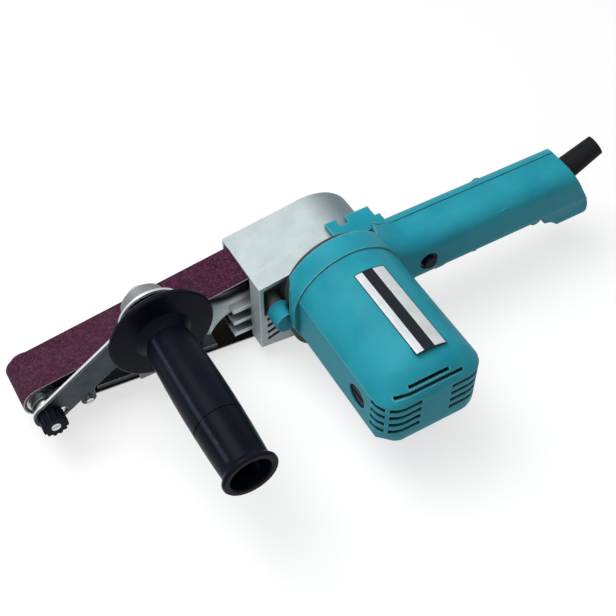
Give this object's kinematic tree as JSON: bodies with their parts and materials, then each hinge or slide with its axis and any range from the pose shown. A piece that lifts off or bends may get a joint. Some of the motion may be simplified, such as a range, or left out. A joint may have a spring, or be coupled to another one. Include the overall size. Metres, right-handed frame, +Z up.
{
  "type": "narrow belt sander",
  "caption": "Hand-held narrow belt sander with a teal motor and rear handle, a bare belt on a sprung nose arm and a black side grip.",
  "frame": {"origin": "under the middle of the whole box, on the plane of the lowest belt point below the drive pulley", "axes": "+X from the nose to the rear of the handle, +Y away from the motor and side grip, +Z up"},
  "size_m": [0.4136, 0.1736, 0.118],
  "materials": {
    "teal_plastic": "fine moulded grain",
    "black_plastic": "satin moulded plastic",
    "black_rubber": "soft matt rubber",
    "cast_metal": "die-cast, faintly grained",
    "bright_steel": "turned and polished",
    "dark_steel": "oiled sheet steel",
    "abrasive_cloth": "bonded maroon-brown grit",
    "graphite": "pressed carbon",
    "lamination": "bare steel, oiled",
    "winding": "enamelled copper",
    "brass": "plain brass"
  },
  "bodies": {
    "tool": {"gear_housing": "cast_metal", "belt_cover": "cast_metal", "motor_housing": "teal_plastic", "handle_shell": "teal_plastic", "handle_cover": "teal_plastic", "sanding_belt": "abrasive_cloth", "shoe_plate": "dark_steel", "shoe_pad": "graphite", "link_plate": "dark_steel", "grip_nut": "bright_steel", "bearing_plate": "cast_metal", "field_core": "lamination", "field_coils": "winding", "brush_holders": "brass", "carbon_brushes": "graphite", "brush_springs": "bright_steel", "brush_caps": "black_plastic", "armature_bearings": "bright_steel", "drive_bearings": "bright_steel", "switch_body": "black_plastic", "cord_guard": "black_rubber", "cord_clamp": "black_plastic", "housing_screws": "bright_steel", "cover_screws": "bright_steel", "handle_screws": "bright_steel", "plate_screw": "bright_steel"},
    "drive": {"drive_pulley": "cast_metal", "drive_tyre": "black_rubber", "drive_shaft": "bright_steel", "drive_gear": "lamination", "pulley_nut": "bright_steel"},
    "armature": {"armature_shaft": "bright_steel", "armature_core": "lamination", "armature_winding": "winding", "commutator": "winding", "cooling_fan": "black_plastic"},
    "tension_slide": {"tension_yoke": "dark_steel", "idler_axle": "bright_steel", "tension_spring": "bright_steel"},
    "nose_pulley": {"idler_pulley": "dark_steel", "idler_bearings": "bright_steel"},
    "tracking_knob_body": {"tracking_knob": "black_plastic"},
    "trigger_body": {"trigger": "black_plastic"},
    "lock_button_body": {"lock_button": "black_plastic"},
    "side_grip_body": {"side_grip": "black_plastic", "grip_stud": "bright_steel"}
  },
  "joints": [
    {"name": "drive_turn", "type": "hinge", "parent": "tool", "child": "drive", "pos_m": [-0.00436, 0.06725, 0.0364], "axis": [0, 1, 0], "continuous": true},
    {"name": "armature_turn", "type": "hinge", "parent": "tool", "child": "armature", "pos_m": [-0.00436, -0.02275, 0.0664], "axis": [0, 1, 0], "continuous": true},
    {"name": "belt_tension", "type": "slide", "parent": "tool", "child": "tension_slide", "axis": [1, 0, 0], "range_m": [0, 0.008], "stiffness_N_per_m": 1500, "springref_m": -0.012, "deforming": ["tension_spring"]},
    {"name": "nose_turn", "type": "hinge", "parent": "tension_slide", "child": "nose_pulley", "pos_m": [-0.19463, 0.06725, 0.0364], "axis": [0, 1, 0], "continuous": true},
    {"name": "tracking_turn", "type": "hinge", "parent": "tension_slide", "child": "tracking_knob_body", "pos_m": [-0.19463, 0.03425, 0.0364], "axis": [0, 1, 0], "range_deg": [-180, 180]},
    {"name": "trigger_pull", "type": "slide", "parent": "tool", "child": "trigger_body", "axis": [0, 0, 1], "range_m": [0, 0.005], "stiffness_N_per_m": 900, "springref_m": -0.004},
    {"name": "lock_press", "type": "slide", "parent": "tool", "child": "lock_button_body", "axis": [0, 1, 0], "range_m": [0, 0.0025], "stiffness_N_per_m": 600, "springref_m": -0.002},
    {"name": "grip_unscrew", "type": "hinge", "parent": "tool", "child": "side_grip_body", "pos_m": [-0.12123, -0.01275, 0.085], "axis": [0, 1, 0], "range_deg": [0, 360]}
  ],
  "couplings": [
    {"joint": "armature_turn", "follows": "drive_turn", "ratio": -5},
    {"joint": "nose_turn", "follows": "drive_turn", "ratio": 3.2045}
  ]
}
